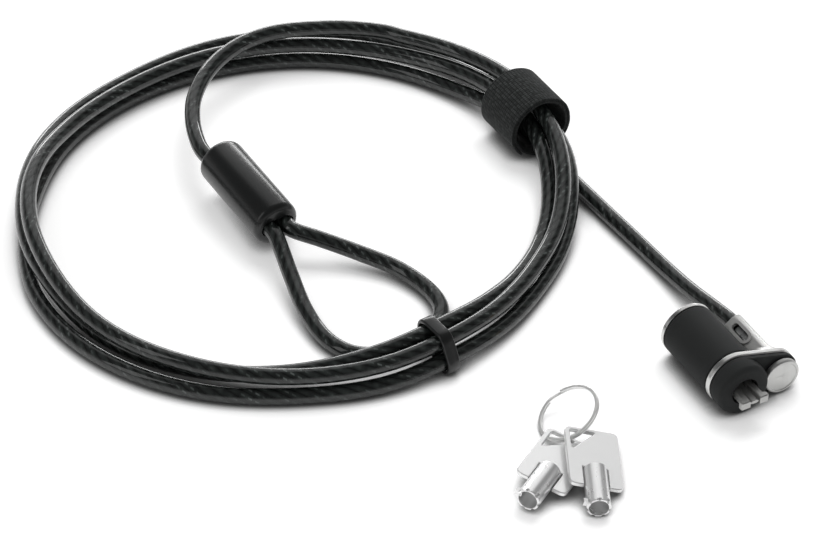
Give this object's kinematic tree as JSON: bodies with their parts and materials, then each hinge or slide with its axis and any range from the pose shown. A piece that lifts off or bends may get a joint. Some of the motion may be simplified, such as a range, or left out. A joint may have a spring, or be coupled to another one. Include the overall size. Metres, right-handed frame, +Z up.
{
  "type": "laptop cable lock",
  "caption": "Cable lock for a portable computer: round keyed head with spreading jaws, swivel cable fitting, coiled coated cable with end loop, strap, and keys on a split ring.",
  "frame": {"origin": "under the middle of the lock head and the keys as they lie, at the height of the table", "axes": "+Z up from the table; the lock's axis runs along Y with its locking tip toward -Y; the cable fitting is on the +X side of the head"},
  "size_m": [0.1824, 0.2502, 0.0216],
  "materials": {
    "soft_black": "satin soft-touch",
    "gloss_black": "gloss",
    "cable_vinyl": "gloss, smoke clear over steel rope",
    "strap_fabric": "matt woven",
    "cast_metal": "die-cast, satin plated",
    "nickel_plate": "bright nickel plate",
    "spring_steel": "ground",
    "brass": "machined",
    "aluminium": "crimped"
  },
  "bodies": {
    "lock_body": {"rear_ring": "nickel_plate", "barrel_sleeve": "soft_black", "lock_housing": "cast_metal", "front_plate": "nickel_plate", "front_pad": "soft_black", "lock_shell": "brass", "pin_block": "brass", "driver_pin_1": "spring_steel", "driver_pin_2": "spring_steel", "driver_pin_3": "spring_steel", "driver_pin_4": "spring_steel", "driver_pin_5": "spring_steel", "driver_pin_6": "spring_steel", "driver_pin_7": "spring_steel", "pin_spring_1": "spring_steel", "pin_spring_2": "spring_steel", "pin_spring_3": "spring_steel", "pin_spring_4": "spring_steel", "pin_spring_5": "spring_steel", "pin_spring_6": "spring_steel", "pin_spring_7": "spring_steel", "cross_pin": "spring_steel", "jaw_spring": "spring_steel", "cable_lead": "cable_vinyl", "cable_coil": "cable_vinyl", "cable_tail": "cable_vinyl", "cable_eye": "cable_vinyl", "eye_sleeve": "gloss_black", "eye_crimp": "aluminium", "coil_clip": "gloss_black", "strap_inner": "strap_fabric", "strap_outer": "strap_fabric"},
    "plug": {"keyway_plug": "brass", "key_pin_1": "spring_steel", "key_pin_2": "spring_steel", "key_pin_3": "spring_steel", "key_pin_4": "spring_steel", "key_pin_5": "spring_steel", "key_pin_6": "spring_steel", "key_pin_7": "spring_steel", "spreader_blade": "spring_steel"},
    "jaw_left": {"jaw_left": "nickel_plate"},
    "jaw_right": {"jaw_right": "nickel_plate"},
    "cable_fitting": {"cable_anchor": "cast_metal", "cable_ferrule": "aluminium", "anchor_rivet": "nickel_plate"},
    "key_ring": {"key_ring": "nickel_plate"},
    "key_1": {"key_1_bow": "nickel_plate", "key_1_tube": "nickel_plate"},
    "key_2": {"key_2_bow": "nickel_plate", "key_2_tube": "nickel_plate"}
  },
  "joints": [
    {"name": "plug_turn", "type": "hinge", "parent": "lock_body", "child": "plug", "pos_m": [0.02841, 0.01979, 0.0085], "axis": [0, -1, 0], "range_deg": [0, 90]},
    {"name": "jaw_left_slide", "type": "slide", "parent": "lock_body", "child": "jaw_left", "axis": [1, 0, 0], "range_m": [0, 0.00095]},
    {"name": "jaw_right_slide", "type": "slide", "parent": "lock_body", "child": "jaw_right", "axis": [-1, 0, 0], "range_m": [0, 0.00095]},
    {"name": "fitting_swivel", "type": "hinge", "parent": "lock_body", "child": "cable_fitting", "pos_m": [0.04271, 0.01179, 0.0064], "axis": [0, -1, 0], "continuous": true},
    {"name": "key_set_lift", "type": "slide", "parent": "lock_body", "child": "key_ring", "axis": [0, 0, 1], "range_m": [0, 0.06]},
    {"name": "key_1_swing", "type": "hinge", "parent": "key_ring", "child": "key_1", "pos_m": [-0.02545, 0.00588, 0.00289], "axis": [0, 0, -1], "range_deg": [0, 30]},
    {"name": "key_2_swing", "type": "hinge", "parent": "key_ring", "child": "key_2", "pos_m": [-0.02167, 0.00323, 0.00549], "axis": [0, 0, 1], "range_deg": [0, 45]}
  ],
  "couplings": [
    {"joint": "plug_turn", "follows": "jaw_left_slide", "rad_per_m": 1653.4},
    {"joint": "jaw_right_slide", "follows": "jaw_left_slide", "ratio": 1}
  ]
}
